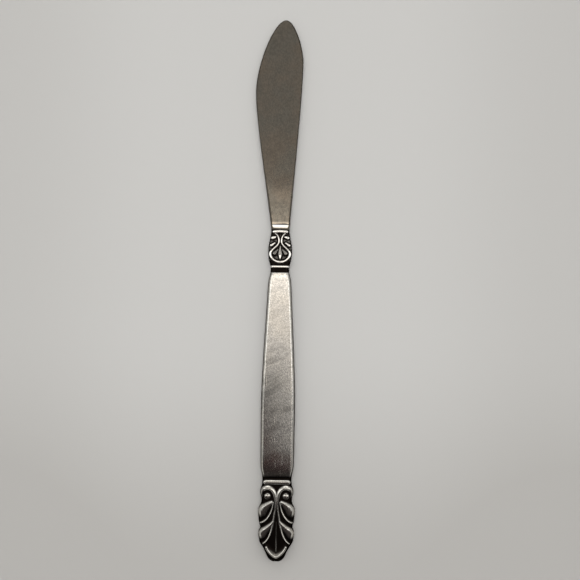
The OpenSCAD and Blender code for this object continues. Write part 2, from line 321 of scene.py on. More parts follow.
ACANTHUS = (
    bar(25.1, 3.5, 0.72),
    RaisedLine(
        (((4.0, 6.05), (1.5, 7.6), (1.1, 12.4), (0.42, 16.4)),),
        left=(0.34, 0.5),
        right=(0.34, 0.5),
        rise=(RISE, 0.2),
    ),
    RaisedLine(
        (((0.42, 16.4), (0.1, 18.4), (0.1, 23.15), (2.8, 23.15)),),
        left=(0.45, 1.1),
        right=(0.5, 0.75),
        rise=(0.2, 0.5),
        left_fall=Fall.FULL,
    ),
    RaisedLine(
        (((2.8, 23.15), (4.3, 23.15), (5.0, 22.1), (4.5, 20.6)),),
        left=(1.1, 0.8),
        right=(0.75, 0.5),
        rise=(0.5, 0.16),
        left_fall=Fall.FULL,
    ),
    drop((2.85, 20.75), 1.0, (2.9, 20.7), 1.0, 0.34),
    RaisedLine(
        (((1.5, 18.9), (2.4, 18.5), (3.7, 17.8), (5.0, 16.7)),),
        left=(0.6, 1.3),
        right=(0.7, 3.4),
        rise=(0.4, 0.5),
        left_fall=Fall.FLAT,
        right_fall=Fall.LONG,
    ),
    RaisedLine(
        (((1.05, 18.8), (1.3, 15.6), (3.0, 13.0), (4.75, 12.45)),),
        left=(0.34, 0.46),
        right=(0.34, 0.42),
        rise=(0.3, 0.44),
    ),
    RaisedLine(
        (((1.15, 12.8), (1.9, 11.8), (3.2, 10.8), (5.0, 9.5)),),
        left=(0.45, 1.2),
        right=(0.5, 2.8),
        rise=(0.36, 0.5),
        left_fall=Fall.FLAT,
        right_fall=Fall.LONG,
    ),
    RaisedLine(
        (TONGUE_RIM,), left=(0.42, 0.5), right=(0.42, 0.5), left_fall=Fall.FULL, right_fall=Fall.FULL
    ),
    RaisedLine((TONGUE_RIM,), left=(0.6, 0.8), right=(1.2, 2.4), rise=(0.1, 0.22), right_fall=Fall.LONG),
    RaisedLine((straight((0.0, 12.6), (0.0, 3.6)),), left=(0.25, 0.4), right=(0.25, 0.4), rise=(0.1, 0.22)),
)

LYRE = (
    bar(1.75, 2.5, 0.45, fall=Fall.LEVEL),
    bar(12.78, 1.9, 0.58, 0.1, 0.46, Fall.LEVEL),
    RaisedLine(
        (
            ((1.5, 12.0), (0.75, 11.7), (0.4, 10.8), (0.4, 9.8)),
            ((0.4, 9.8), (0.42, 7.9), (2.75, 7.6), (3.0, 5.8)),
            ((3.0, 5.8), (2.95, 4.4), (1.65, 3.2), (0.0, 3.2)),
        ),
        left=(0.28, 0.46),
        right=(0.28, 0.46),
        left_fall=Fall.LEVEL,
        right_fall=Fall.LEVEL,
    ),
    drop((1.55, 10.95), 0.45, (2.3, 10.75), 0.62, fall=Fall.LEVEL),
    drop((1.75, 9.1), 0.36, (2.75, 8.4), 0.5, fall=Fall.LEVEL),
    drop((0.7, 7.1), 0.22, (1.75, 5.9), 0.75, 0.16, Fall.LEVEL),
    drop((0.0, 8.2), 0.16, (0.0, 5.6), 0.78, 0.19, Fall.LEVEL),
    drop((0.0, 5.2), 0.62, (0.0, 4.3), 0.3, fall=Fall.LEVEL),
)


@dataclass(frozen=True)
class Handle:
    """Sizes of the hollow handle, and the surface that they give."""

    pommel_length: float = 26.6
    panel_length: float = 64.0
    neck_length: float = 13.4
    pommel_width: float = 11.2
    panel_width: float = 10.7
    panel_neck_width: float = 7.0
    neck_width: float = 7.4
    collar_width: float = 5.7
    pommel_thickness: float = 5.0
    neck_thickness: float = 3.8
    edge_round: float = 1.0
    end_round: float = 4.5
    end_fall: float = 2.4
    wall: float = 0.5
    solder_film: float = 0.1
    struck_depth: float = 0.5
    pommel_roll: float = 9.0
    neck_roll: float = 0.4
    corner_share: float = 0.34
    panel_flank: Pair = (5.0, 0.2)
    panel_corner: float = 2.4
    waist_at: float = 0.4
    collar_run: float = 0.8
    cavity_lead: float = 2.0
    cavity_rise: float = 6.0
    leaf_run: float = 8.0
    neck_wear: float = 0.28
    ridge_shade_reach: float = 0.5
    lyre_field: Pair = (3.0, 12.4)

    @property
    def panel_end(self) -> float:
        """Station where the panel meets the neck."""
        return self.pommel_length + self.panel_length

    @property
    def mouth(self) -> float:
        """Station of the handle's mouth, where the blade's shoulder seats."""
        return self.panel_end + self.neck_length

    @property
    def origin_at(self) -> float:
        """Station of the panel's middle."""
        return self.pommel_length + self.panel_length / 2

    @property
    def mid_height(self) -> float:
        """Half the thickness at the panel's middle."""
        return (self.pommel_thickness + self.neck_thickness) / 4

    @property
    def taper(self) -> float:
        """Fall of one panel for each millimetre towards the blade."""
        return (self.pommel_thickness - self.neck_thickness) / 2 / self.panel_length

    def lay(self) -> Matrix:
        """Gives the move from stations in millimetres to the frame, with the back panel on the floor."""
        angle = math.atan(self.taper)
        lift = Matrix.Translation((0.0, 0.0, self.mid_height * math.cos(angle)))
        turn = Matrix.Rotation(-angle, 4, "X")
        return Matrix.Scale(MM, 4) @ lift @ turn @ Matrix.Translation((0.0, -self.origin_at, 0.0))

    def outline(self) -> SmoothLine:
        """Gives the half widths along the handle."""
        leaf = (
            (0.0, 0.71), (2.2, 0.63), (4.1, 0.71), (6.2, 0.935), (8.4, 0.965), (10.7, 0.9), (12.9, 0.99),
            (15.4, 1.0), (19.3, 0.845), (21.7, 0.915), (24.2, 0.83), (26.6, 0.83),
        )
        panel = ((0.05, 0.97), (0.18, 0.988), (0.33, 1.0), (0.5, 0.955))
        lyre = ((2.4, 0.84), (4.0, 0.95), (6.2, 1.0), (8.2, 0.985), (10.4, 0.88))
        end, collar, neck = self.panel_end, self.collar_width / 2, self.panel_neck_width / 2
        return SmoothLine((
            *((s, share * self.pommel_width / 2) for s, share in leaf),
            *(
                (self.pommel_length + s * self.panel_length, share * self.panel_width / 2)
                for s, share in panel
            ),
            (end - self.panel_flank[0], neck + self.panel_flank[1]),
            (end - self.panel_corner, neck), (end + self.waist_at, collar),
            *((end + s, share * self.neck_width / 2) for s, share in lyre),
            (self.mouth - self.collar_run, collar), (self.mouth, collar),
        ))

    def half_width(self, s: Array) -> Array:
        """Gives half the width at each station."""
        return self.outline().at(s) * quarter(s / self.end_round)

    def panel_mask(self, s: Array) -> Array:
        """Gives 1 on the panel, falling to 0 on the struck ground at its two ends."""
        from_pommel = quarter((s - self.pommel_length) / self.pommel_roll)
        return np.minimum(from_pommel, quarter((self.panel_end - s) / self.neck_roll))

    def ground_height(self, s: Array) -> Array:
        """Gives the height of the panel and the struck ground above the seam's plane."""
        panel = self.mid_height - self.taper * (s - self.origin_at)
        return panel - self.struck_depth * (1.0 - self.panel_mask(s))

    def corner(self, s: Array) -> Array:
        """Gives the width of the rounded edge at each station."""
        struck = self.corner_share * self.half_width(s)
        leaf = mix(struck, self.edge_round, ease((s - self.pommel_length) / self.leaf_run + 1.0))
        return np.where(s > self.panel_end, np.minimum(struck, self.edge_round), leaf)


@dataclass
class GridSheet:
    """A flat grid of quads in a mesh, whose vertices are known by column and row."""

    mesh: bmesh.types.BMesh
    columns: int
    rows: int
    verts: list[bmesh.types.BMVert] = field(init=False)
    column: Array = field(init=False)
    row: Array = field(init=False)

    def __post_init__(self) -> None:
        """Adds the grid and reads the column and row of each vertex from its place."""
        made = bmesh.ops.create_grid(self.mesh, x_segments=self.columns, y_segments=self.rows, size=0.5)
        self.verts = made["verts"]
        places = np.array([v.co for v in self.verts])
        self.column = np.rint((places[:, 0] + 0.5) * self.columns).astype(int)
        self.row = np.rint((places[:, 1] + 0.5) * self.rows).astype(int)

    def move(self, x: Array, y: Array, z: Array) -> None:
        """Moves each vertex to its place on the surface: across, along and up."""
        for vert, place in zip(self.verts, np.column_stack((x, y, z)).tolist()):
            vert.co = place

    def mark(self, layer: bmesh.types.BMLayerItem, values: Array) -> None:
        """Gives each vertex its value on a layer of the mesh."""
        for vert, value in zip(self.verts, values.tolist()):
            vert[layer] = value

    def weld(self) -> None:
        """Merges the vertices that meet at a pole or a seam."""
        bmesh.ops.remove_doubles(self.mesh, verts=self.verts, dist=WELD)


def finish_mesh(name: str, mesh: bmesh.types.BMesh, place: Matrix, sharp: float) -> bpy.types.Object:
    """Turns a closed mesh into an object that sits at the origin.

    Args:
        name: The object's name.
        mesh: The mesh, in millimetres. It is freed.
        place: The move to the frame.
        sharp: Angle in degrees from which an edge stays sharp.

    Returns:
        The new object.
    """
    bmesh.ops.recalc_face_normals(mesh, faces=mesh.faces)
    bmesh.ops.transform(mesh, matrix=place, verts=mesh.verts)
    for face in mesh.faces:
        face.smooth = True
    for edge in mesh.edges:
        edge.smooth = edge.calc_face_angle(math.pi) < math.radians(sharp)
    open_edges = sum(not edge.is_manifold for edge in mesh.edges)
    data = bpy.data.meshes.new(name)
    mesh.to_mesh(data)
    mesh.free()
    piece = bpy.data.objects.new(name, data)
    bpy.context.scene.collection.objects.link(piece)
    LOG.info("%s: %d faces, %d open edges", name, len(data.polygons), open_edges)
    return piece


class Graph:
    """Adds and links the nodes of one tree."""

    def __init__(self, tree: bpy.types.NodeTree) -> None:
        """Keeps the tree."""
        self.tree = tree

    def add(self, kind: str, inputs: dict | None = None, **settings: object) -> bpy.types.Node:
        """Adds a node.

        Args:
            kind: The node's type, without its common first part.
            inputs: Values or sockets for its inputs, by name or number.
            settings: Values for its own settings.

        Returns:
            The new node.
        """
        node = self.tree.nodes.new("ShaderNode" + kind)
        for name, value in settings.items():
            setattr(node, name, value)
        self.feed(node, inputs or {})
        return node

    def feed(self, node: bpy.types.Node, inputs: dict) -> None:
        """Links sockets to a node's inputs, or sets the inputs' values.

        Args:
            node: The node.
            inputs: Values or sockets, by the input's name or number.
        """
        for name, value in inputs.items():
            if isinstance(value, Socket):
                self.tree.links.new(value, node.inputs[name])
            else:
                node.inputs[name].default_value = value

    def math(self, operation: str, *values: object) -> Socket:
        """Adds a sum and gives its result."""
        return self.add("Math", dict(enumerate(values)), operation=operation).outputs[0]

    def noise(self, place: Socket, scale: object, detail: float) -> Socket:
        """Adds soft noise and gives its value."""
        return self.add("TexNoise", {"Vector": place, "Scale": scale, "Detail": detail}).outputs[0]

    def ramp(self, value: Socket, span: Pair = (0.0, 1.0), low: float = 0.0, high: float = 1.0) -> Socket:
        """Maps a value smoothly and gives the result.

        Args:
            value: The socket to map.
            span: Where the result starts and stops changing.
            low: The result at the span's start and before it.
            high: The result at the span's end and after it.

        Returns:
            The mapped value.
        """
        inputs = {0: value, 1: span[0], 2: span[1], 3: low, 4: high}
        return self.add("MapRange", inputs, interpolation_type="SMOOTHSTEP").outputs[0]

    def tint(self, share: object, a: object, b: object, blend: str = "MIX") -> Socket:
        """Mixes two colours and gives the result.

        Args:
            share: How much of b is mixed in.
            a: First colour or socket.
            b: Second colour or socket.
            blend: The way they are mixed.

        Returns:
            The mixed colour.
        """
        node = self.add("Mix", {0: share, 6: a, 7: b}, data_type="RGBA", blend_type=blend)
        return node.outputs[2]


class Effect(Enum):
    """Surface effects that several finishes share."""

    BRUSHING = "brushing"
    HANDLING = "handling"
    PATINA_AND_PAINTED_LIGHT = "patina_and_painted_light"

    def group(self) -> bpy.types.NodeTree:
        """Gives the effect's node group, which is built on first use."""
        known = bpy.data.node_groups.get(self.value)
        return known or getattr(self, "_" + self.value)()

    def place(self, graph: Graph, inputs: dict) -> bpy.types.Node:
        """Puts the effect into a material and gives the group's node."""
        return graph.add("Group", inputs, node_tree=self.group())

    def _empty(self, inputs: dict[str, str], outputs: tuple[str, ...]) -> tuple[Graph, dict, bpy.types.Node]:
        """Makes an empty group.

        Args:
            inputs: Names and kinds of its inputs.
            outputs: Names of its outputs, which are values.

        Returns:
            Its nodes, its inputs by name, and the node that takes its outputs.
        """
        tree = bpy.data.node_groups.new(self.value, "ShaderNodeTree")
        for name, kind in inputs.items():
            tree.interface.new_socket(name, in_out="INPUT", socket_type="NodeSocket" + kind)
        for name in outputs:
            tree.interface.new_socket(name, in_out="OUTPUT", socket_type="NodeSocketFloat")
        source = tree.nodes.new("NodeGroupInput")
        sink = tree.nodes.new("NodeGroupOutput")
        return Graph(tree), {socket.name: socket for socket in source.outputs}, sink

    def _brushing(self) -> bpy.types.NodeTree:
        """Builds fine lengthwise brushing: many short hairlines and a few broader streaks."""
        graph, given, sink = self._empty(
            {"Vector": "Vector", "Across": "Float", "Along": "Float"}, ("Height", "Grain", "Streaks")
        )
        broad_scale, levels = 0.23, (0.3, 0.7)
        scale = graph.add("CombineXYZ", {0: given["Across"], 1: given["Along"], 2: given["Across"]})
        spread = graph.add("VectorMath", {0: given["Vector"], 1: scale.outputs[0]}, operation="MULTIPLY")
        fine = graph.noise(spread.outputs[0], 1.0, 3.0)
        broad = graph.noise(spread.outputs[0], broad_scale, 2.0)
        grain, streaks = graph.ramp(fine, levels), graph.ramp(broad, levels)
        graph.feed(sink, {"Height": fine, "Grain": grain, "Streaks": streaks})
        return graph.tree

    def _handling(self) -> bpy.types.NodeTree:
        """Builds marks of use: soft cloudy patches, sparse hairline scratches and slanting ripples."""
        graph, given, sink = self._empty(
            {"Vector": "Vector", "Scale": "Float"}, ("Clouds", "Scratches", "Ripples")
        )
        place = given["Vector"]
        ripple_slant, ripple_size = 0.45, (0.0085, 0.0019, 0.0085)
        scratch_turns, scratch_scale = ((0.35, 3.0), (-0.6, 11.0)), (2600.0, 90.0, 300.0)
        cloud_levels, scratch_levels = (0.35, 0.68), (0.72, 0.8)
        slanted = graph.add(
            "Mapping",
            {"Vector": place, "Rotation": (0.0, 0.0, ripple_slant), "Scale": ripple_size},
            vector_type="TEXTURE",
        )
        cloud = graph.noise(place, given["Scale"], 4.0)
        scratches = []
        for turn, shift in scratch_turns:
            mapped = graph.add("Mapping", {
                "Vector": place,
                "Location": (shift, shift, 0.0),
                "Rotation": (0.0, 0.0, turn),
                "Scale": scratch_scale,
            })
            scratches.append(graph.ramp(graph.noise(mapped.outputs[0], 1.0, 1.0), scratch_levels))
        graph.feed(sink, {
            "Clouds": graph.ramp(cloud, cloud_levels),
            "Scratches": graph.math("MAXIMUM", *scratches),
            "Ripples": graph.noise(slanted.outputs[0], 1.0, 1.0),
        })
        return graph.tree

    def _patina_and_painted_light(self) -> bpy.types.NodeTree:
        """Builds the dark film that stays in struck recesses and is rubbed off the crests. The same film
        paints shade on steep sides, blade edges and ridge feet, and the rubbed share also paints highlights.
        """
        graph, given, sink = self._empty(
            {"Vector": "Vector", "Relief": "Float", "Worn": "Float"}, ("Film", "RubbedAndHighlight")
        )
        unevenness, cloud_scale = 0.22, 900.0
        film_and_shade_levels, rubbed_and_highlight_levels = (0.15, 1.0), (1.15, 1.45)
        cloud = graph.noise(given["Vector"], cloud_scale, 3.0)
        level = graph.math("SUBTRACT", given["Relief"], unevenness / 2)
        uneven = graph.math("MULTIPLY_ADD", cloud, unevenness, level)
        film = graph.ramp(graph.math("DIVIDE", uneven, given["Worn"]), film_and_shade_levels, 1.0, 0.0)
        graph.feed(sink, {"Film": film, "RubbedAndHighlight": graph.ramp(uneven, rubbed_and_highlight_levels)})
        return graph.tree


def new_material(name: str) -> tuple[bpy.types.Material, Graph, bpy.types.Node, Socket]:
    """Makes a material, and gives it with its nodes, its shader and its Object coordinates."""
    made = bpy.data.materials.new(name)
    made.use_nodes = True
    graph = Graph(made.node_tree)
    place = graph.add("TexCoord").outputs["Object"]
    return made, graph, made.node_tree.nodes["Principled BSDF"], place


@dataclass(frozen=True)
class SteelFinish:
    """Satin steel with lengthwise brushing, marks of use and a dark film where it isn't bare. The film is
    dark oxide in the hollows and painted shade on steep sides, edges and ridge feet; the rubbed colour
    brightens crests and the bolster, partly as a painted highlight.

    The painted shade in the ripples' troughs shows most in a patch, given by its middle and reach along the
    knife. Lengths are in metres.
    """

    name: str
    colour: Colour
    cloud_colour: Colour
    film_and_shade_colour: Colour
    rubbed_and_highlight_colour: Colour
    roughness: float
    brushing: Pair
    grain_depth: float
    cloud_scale: float
    cloud_depth: float
    bump: float
    ripple: float
    ripple_shade_depth: float
    ripple_patch: Pair
    edge_tint: Colour = (0.3, 0.29, 0.28, 1.0)
    streak_depth: float = 0.06
    bare_from: float = 0.7
    patch_core: float = 0.4
    ripple_rest: float = 0.3
    trough_shade_levels: Pair = (0.32, 0.55)
    cloud_roughness: float = 0.03
    scratch_roughness: float = 0.06
    film_roughness: float = 0.2
    scratch_height: float = -0.6
    bump_distance: float = 0.00003

    def ripple_shade(
        self, graph: Graph, place: Socket, ripples: Socket
    ) -> Socket:
        """Paints shade into the troughs of the ripples.

        Args:
            graph: The material's nodes.
            place: The Object coordinates.
            ripples: The ripples' height.

        Returns:
            The share of the tone that is left.
        """
        along = graph.add("SeparateXYZ", {0: place}).outputs[1]
        away = graph.math("SUBTRACT", along, self.ripple_patch[0])
        away = graph.math("ABSOLUTE", graph.math("DIVIDE", away, self.ripple_patch[1]))
        rest = self.ripple_rest * self.ripple_shade_depth
        depth = graph.ramp(away, (self.patch_core, 1.0), self.ripple_shade_depth, rest)
        troughs = graph.ramp(ripples, self.trough_shade_levels, 1.0, 0.0)
        return graph.math("SUBTRACT", 1.0, graph.math("MULTIPLY", depth, troughs))

    def material(self) -> bpy.types.Material:
        """Builds the material."""
        made, graph, shader, place = new_material(self.name)
        across, along = self.brushing
        brushing = Effect.BRUSHING.place(graph, {"Vector": place, "Across": across, "Along": along}).outputs
        handling = Effect.HANDLING.place(graph, {"Vector": place, "Scale": self.cloud_scale}).outputs
        relief = graph.add("Attribute", attribute_name=RELIEF).outputs["Fac"]
        struck = {"Vector": place, "Relief": relief, "Worn": self.bare_from}
        patina_and_painted_light = Effect.PATINA_AND_PAINTED_LIGHT.place(graph, struck).outputs
        streaks = graph.ramp(brushing["Streaks"], low=1.0 - self.streak_depth)
        clouds = graph.ramp(handling["Clouds"], low=1.0, high=1.0 - self.cloud_depth)
        grain = graph.ramp(brushing["Grain"], low=1.0 - self.grain_depth)
        # The grain is darkened by painted shade in the ripples' troughs.
        grain = graph.math("MULTIPLY", grain, self.ripple_shade(graph, place, handling["Ripples"]))
        tone = graph.math("MULTIPLY", graph.math("MULTIPLY", streaks, clouds), grain)
        colour = graph.tint(handling["Clouds"], self.colour, self.cloud_colour)
        colour = graph.tint(1.0, colour, tone, "MULTIPLY")
        # The rubbed colour is partly wear and partly a painted highlight; the film colour is dark oxide in
        # hollows and painted shade on sides and edges.
        colour = graph.tint(patina_and_painted_light["RubbedAndHighlight"], colour, self.rubbed_and_highlight_colour)
        colour = graph.tint(patina_and_painted_light["Film"], colour, self.film_and_shade_colour)
        rough = graph.math("MULTIPLY_ADD", handling["Clouds"], self.cloud_roughness, self.roughness)
        rough = graph.math("MULTIPLY_ADD", handling["Scratches"], self.scratch_roughness, rough)
        rough = graph.math("MULTIPLY_ADD", patina_and_painted_light["Film"], self.film_roughness, rough)
        waves = graph.add("Bump", {"Strength": 1.0, "Distance": self.ripple, "Height": handling["Ripples"]})
        height = graph.math("MULTIPLY_ADD", handling["Scratches"], self.scratch_height, brushing["Height"])
        bump = graph.add("Bump", {
            "Strength": self.bump,
            "Distance": self.bump_distance,
            "Height": height,
            "Normal": waves.outputs[0],
        })
        graph.feed(shader, {
            "Base Color": colour,
            "Roughness": rough,
            "Metallic": 1.0,
            "Specular Tint": self.edge_tint,
            "Normal": bump.outputs[0],
        })
        return made


@dataclass(frozen=True)
class CastFinish:
    """A cast or melted filling: solder dressed flush, or rough cement."""

    name: str
    light: Colour
    dark: Colour
    metallic: float
    roughness: Pair
    grain: float
    bump: float
    grain_levels: Pair = (0.35, 0.65)
    bump_distance: float = 0.0001

    def material(self) -> bpy.types.Material:
        """Builds the material."""
        made, graph, shader, place = new_material(self.name)
        grain = graph.noise(place, self.grain, 5.0)
        share = graph.ramp(grain, self.grain_levels)
        bump = graph.add("Bump", {"Strength": self.bump, "Distance": self.bump_distance, "Height": grain})
        graph.feed(shader, {
            "Base Color": graph.tint(share, self.dark, self.light),
            "Roughness": graph.ramp(share, low=self.roughness[1], high=self.roughness[0]),
            "Metallic": self.metallic,
            "Normal": bump.outputs[0],
        })
        return made


HANDLE_STEEL = SteelFinish(
    name="handle_satin_steel",
    colour=(0.66, 0.635, 0.585, 1.0),
    cloud_colour=(0.65, 0.635, 0.6, 1.0),
    film_and_shade_colour=(0.009, 0.007, 0.006, 1.0),
    rubbed_and_highlight_colour=(0.67, 0.655, 0.625, 1.0),
    roughness=0.09,
    brushing=(2700.0, 1900.0),
    grain_depth=0.28,
    cloud_scale=170.0,
    cloud_depth=0.06,
    bump=0.2,
    ripple=0.000009,
    ripple_shade_depth=0.3,
    ripple_patch=(-0.0055, 0.016),
)
BLADE_STEEL = SteelFinish(
    name="blade_satin_steel",
    colour=(0.455, 0.385, 0.305, 1.0),
    cloud_colour=(0.43, 0.395, 0.33, 1.0),
    film_and_shade_colour=(0.06, 0.053, 0.043, 1.0),
    rubbed_and_highlight_colour=(0.6, 0.58, 0.54, 1.0),
    roughness=0.06,
    brushing=(2200.0, 1500.0),
    grain_depth=0.18,
    cloud_scale=120.0,
    cloud_depth=0.09,
    bump=0.05,
    ripple=0.000003,
    ripple_shade_depth=0.05,
    ripple_patch=(0.06, 0.02),
)
SOLDER = CastFinish(
    name="tarnished_solder",
    light=(0.12, 0.11, 0.09, 1.0),
    dark=(0.04, 0.036, 0.03, 1.0),
    metallic=1.0,
    roughness=(0.3, 0.45),
    grain=1400.0,
    bump=0.1,
)
CEMENT = CastFinish(
    name="cast_cement",
    light=(0.55, 0.5, 0.42, 1.0),
    dark=(0.38, 0.34, 0.28, 1.0),
    metallic=0.0,
    roughness=(0.8, 0.95),
    grain=900.0,
    bump=0.5,
)


@dataclass
class HalfShell:
    """One die-struck half of the handle, with its ornaments."""

    name: str
    node: str
    side: Side
    handle: Handle
    corner_steps: int = 20
    flat_steps: int = 76
    inner_corner_steps: int = 5
    inner_flat_steps: int = 8
    inner_corner_share: float = 0.6
    end_rows: int = 26
    leaf_rows: int = 200
    pommel_roll_rows: int = 26
    panel_rows: int = 34
    neck_roll_rows: int = 20
    neck_rows: int = 124
    sharp_from: float = 70.0
    seam_fade: float = 0.9
    side_shade_span: Pair = (0.25, 0.6)
    side_shade_bareness: float = 0.2
    pommel_wear: float = 0.82
    crest_span: Pair = (0.8, 1.0)
    crest_polish_and_highlight: float = 0.5

    def ornaments(self) -> tuple[Ornament, ...]:
        """Gives the ornaments at the handle's two ends."""
        return Ornament(0.0, ACANTHUS), Ornament(self.handle.panel_end, LYRE)

    def stations(self) -> Array:
        """Gives the stations of the outer rows, close together on the ornaments."""
        h = self.handle
        turn = np.pi / 2
        end = h.end_fall * (1.0 - np.cos(np.linspace(0.0, turn, self.end_rows)))
        roll = h.pommel_roll * (1.0 - np.cos(np.linspace(0.0, turn, self.pommel_roll_rows)))
        neck_roll = h.neck_roll * (1.0 - np.cos(np.linspace(turn, 0.0, self.neck_roll_rows)))
        panel = h.pommel_length + h.pommel_roll, h.panel_end - h.neck_roll
        return np.concatenate((
            end[:-1],
            np.linspace(h.end_fall, h.pommel_length, self.leaf_rows, endpoint=False),
            h.pommel_length + roll[:-1],
            np.linspace(*panel, self.panel_rows, endpoint=False),
            h.panel_end - neck_roll[:-1],
            np.linspace(h.panel_end, h.mouth, self.neck_rows),
        ))

    def section(
        self, sheet: GridSheet, width: Array, height: Array, corner: Array, steps: int
    ) -> tuple[Array, ...]:
        """Places a grid's columns over the half sections.

        Args:
            sheet: The grid, whose outer columns on both sides lie on the rounded edges.
            width: Half the width for each vertex.
            height: The section's height for each vertex.
            corner: The rounded edge's width for each vertex.
            steps: Columns on each rounded edge.

        Returns:
            Places across, heights, and the two parts of the outward direction.
        """
        from_edge = np.minimum(sheet.column, sheet.columns - sheet.column)
        angle = np.pi / 2 * np.clip(from_edge / steps, 0.0, 1.0)
        flat = np.clip((sheet.column - steps) / (sheet.columns - 2 * steps), 0.0, 1.0) * 2.0 - 1.0
        sign = np.where(sheet.column * 2 < sheet.columns, -1.0, 1.0)
        across = flat * (width - corner) + sign * corner * np.cos(angle)
        out_u = sign * np.cos(angle) * height
        out_z = np.sin(angle) * corner + TINY
        length = np.hypot(out_u, out_z)
        return across, height * np.sin(angle), out_u / length, out_z / length

    def outer(self, mesh: bmesh.types.BMesh) -> None:
        """Adds the struck outside with its relief.

        Args:
            mesh: The mesh that gets it.
        """
        h = self.handle
        rows = self.stations()
        relief = mesh.verts.layers.float.new(RELIEF)
        sheet = GridSheet(mesh, 2 * self.corner_steps + self.flat_steps, len(rows) - 1)
        s = rows[sheet.row]
        height = h.ground_height(s) * quarter(s / h.end_fall)
        u, z, out_u, out_z = self.section(sheet, h.half_width(s), height, h.corner(s), self.corner_steps)
        heights, clear = zip(*(ornament.height(u, s) for ornament in self.ornaments()))
        raised = np.max(heights, axis=0) * (1.0 - h.panel_mask(s)) * ease(z / self.seam_fade)
        z = np.maximum(z + raised * out_z, h.solder_film / 2)
        sheet.move(u + raised * out_u, s, self.side.value * z)
        shown = self.bareness(s, raised, np.min(clear, axis=0))
        # Steep sides keep little bareness, so the dark film paints shade on them.
        sheet.mark(relief, shown * mix(self.side_shade_bareness, 1.0, over(out_z, self.side_shade_span)))
        sheet.weld()

    def bareness(self, s: Array, raised: Array, clear: Array) -> Array:
        """Gives how bare the top is: 0 under the dark film, 1 where bare, and more where rubbed bright. Next
        to the ridges' feet the bare ground fades as painted shade, and the neck's crests are brightened,
        partly as a painted highlight.

        Args:
            s: Stations along the handle.
            raised: Heights of the relief.
            clear: Distances past the nearest line's foot.

        Returns:
            The bareness at each place.
        """
        h = self.handle
        neck = s - h.panel_end
        ground = h.neck_wear * ease(neck - h.lyre_field[0]) * ease(h.lyre_field[1] - neck)
        # Next to each ridge's foot the bare ground fades back into the dark film: painted shade.
        ground *= ease(clear / h.ridge_shade_reach)
        worn = raised / RISE * np.where(neck > 0.0, 1.0, self.pommel_wear)
        # The neck's crests are brightened, partly as rubbed wear and partly as a painted highlight.
        crests = self.crest_polish_and_highlight * over(worn, self.crest_span) * (neck > 0.0)
        return np.maximum(np.maximum(worn, ground), h.panel_mask(s)) + crests

    def inner(self, mesh: bmesh.types.BMesh) -> None:
        """Adds the inside, which follows the ground a wall's thickness in.

        Args:
            mesh: The mesh that gets it.
        """
        h = self.handle
        rows = self.stations()
        rows = rows[rows >= h.end_round]
        sheet = GridSheet(mesh, 2 * self.inner_corner_steps + self.inner_flat_steps, len(rows) - 1)
        s = rows[sheet.row]
        width = h.half_width(s) - h.wall
        height = (h.ground_height(s) - h.wall) * quarter((s - h.end_round + h.cavity_lead) / h.cavity_rise)
        corner = np.minimum(h.corner(s), self.inner_corner_share * width)
        u, z, _, _ = self.section(sheet, width, height, corner, self.inner_corner_steps)
        sheet.move(u, s, self.side.value * np.maximum(z, h.solder_film / 2))

    def close_rims(self, mesh: bmesh.types.BMesh) -> None:
        """Joins the outside to the inside along the seam, at the mouth and at the pommel's end.

        Args:
            mesh: The open outside and inside, whose rows along the seam are at the same stations.
        """
        h = self.handle
        groups: dict[str, list[bmesh.types.BMEdge]] = {"left": [], "right": [], "mouth": [], "end": []}
        first = np.min([s for s in self.stations() if s >= h.end_round]) - NEAR
        for edge in mesh.edges:
            if not edge.is_boundary:
                continue
            (x, low, _), (_, high, _) = sorted((v.co for v in edge.verts), key=lambda co: co.y)
            if low > h.mouth - NEAR:
                groups["mouth"].append(edge)
            elif low < first or high - low < WELD:
                groups["end"].append(edge)
            else:
                groups["left" if x < 0 else "right"].append(edge)
        for edges in groups.values():
            bmesh.ops.bridge_loops(mesh, edges=edges)

    def build(self) -> bpy.types.Object:
        """Builds the shell as one closed mesh."""
        mesh = bmesh.new()
        self.outer(mesh)
        self.inner(mesh)
        self.close_rims(mesh)
        piece = finish_mesh(self.name, mesh, self.handle.lay(), self.sharp_from)
        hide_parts(self.node)
        return piece

    def dress(self, piece: bpy.types.Object, steel: bpy.types.Material) -> None:
        """Gives the shell its finish and its place in the record."""
        piece.data.materials.append(steel)
        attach(piece, BODY)


@dataclass(frozen=True)
class BladeEdge:
    """One edge of the blade: two curves that meet at its widest place. Handles are shares of its size."""

    reach: float
    widest_at: float
    shoulder_handle: Pair
    widest_handle: Pair
    tip_handles: Pair

    def points(self, half: float, tip: Pair, low: Array, high: Array) -> Array:
        """Gives the edge's points.

        Args:
            half: Half the width at the shoulder.
            tip: The blade's tip.
            low: Shares of the way along the curve from the shoulder.
            high: Shares of the way along the curve to the tip.

        Returns:
            One row of two coordinates for each share.
        """
        widest = (self.reach, self.widest_at)
        to_widest = (
            (math.copysign(half, self.reach), 0.0),
            (self.shoulder_handle[0] * self.reach, self.shoulder_handle[1] * self.widest_at),
            (self.widest_handle[0] * self.reach, self.widest_handle[1] * self.widest_at),
            widest,
        )
        to_tip = (
            widest,
            (self.reach, mix(self.widest_at, tip[1], self.tip_handles[0])),
            (mix(tip[0], self.reach, self.tip_handles[1]), tip[1]),
            tip,
        )
        return np.vstack((bezier(to_widest, low), bezier(to_tip, high)))


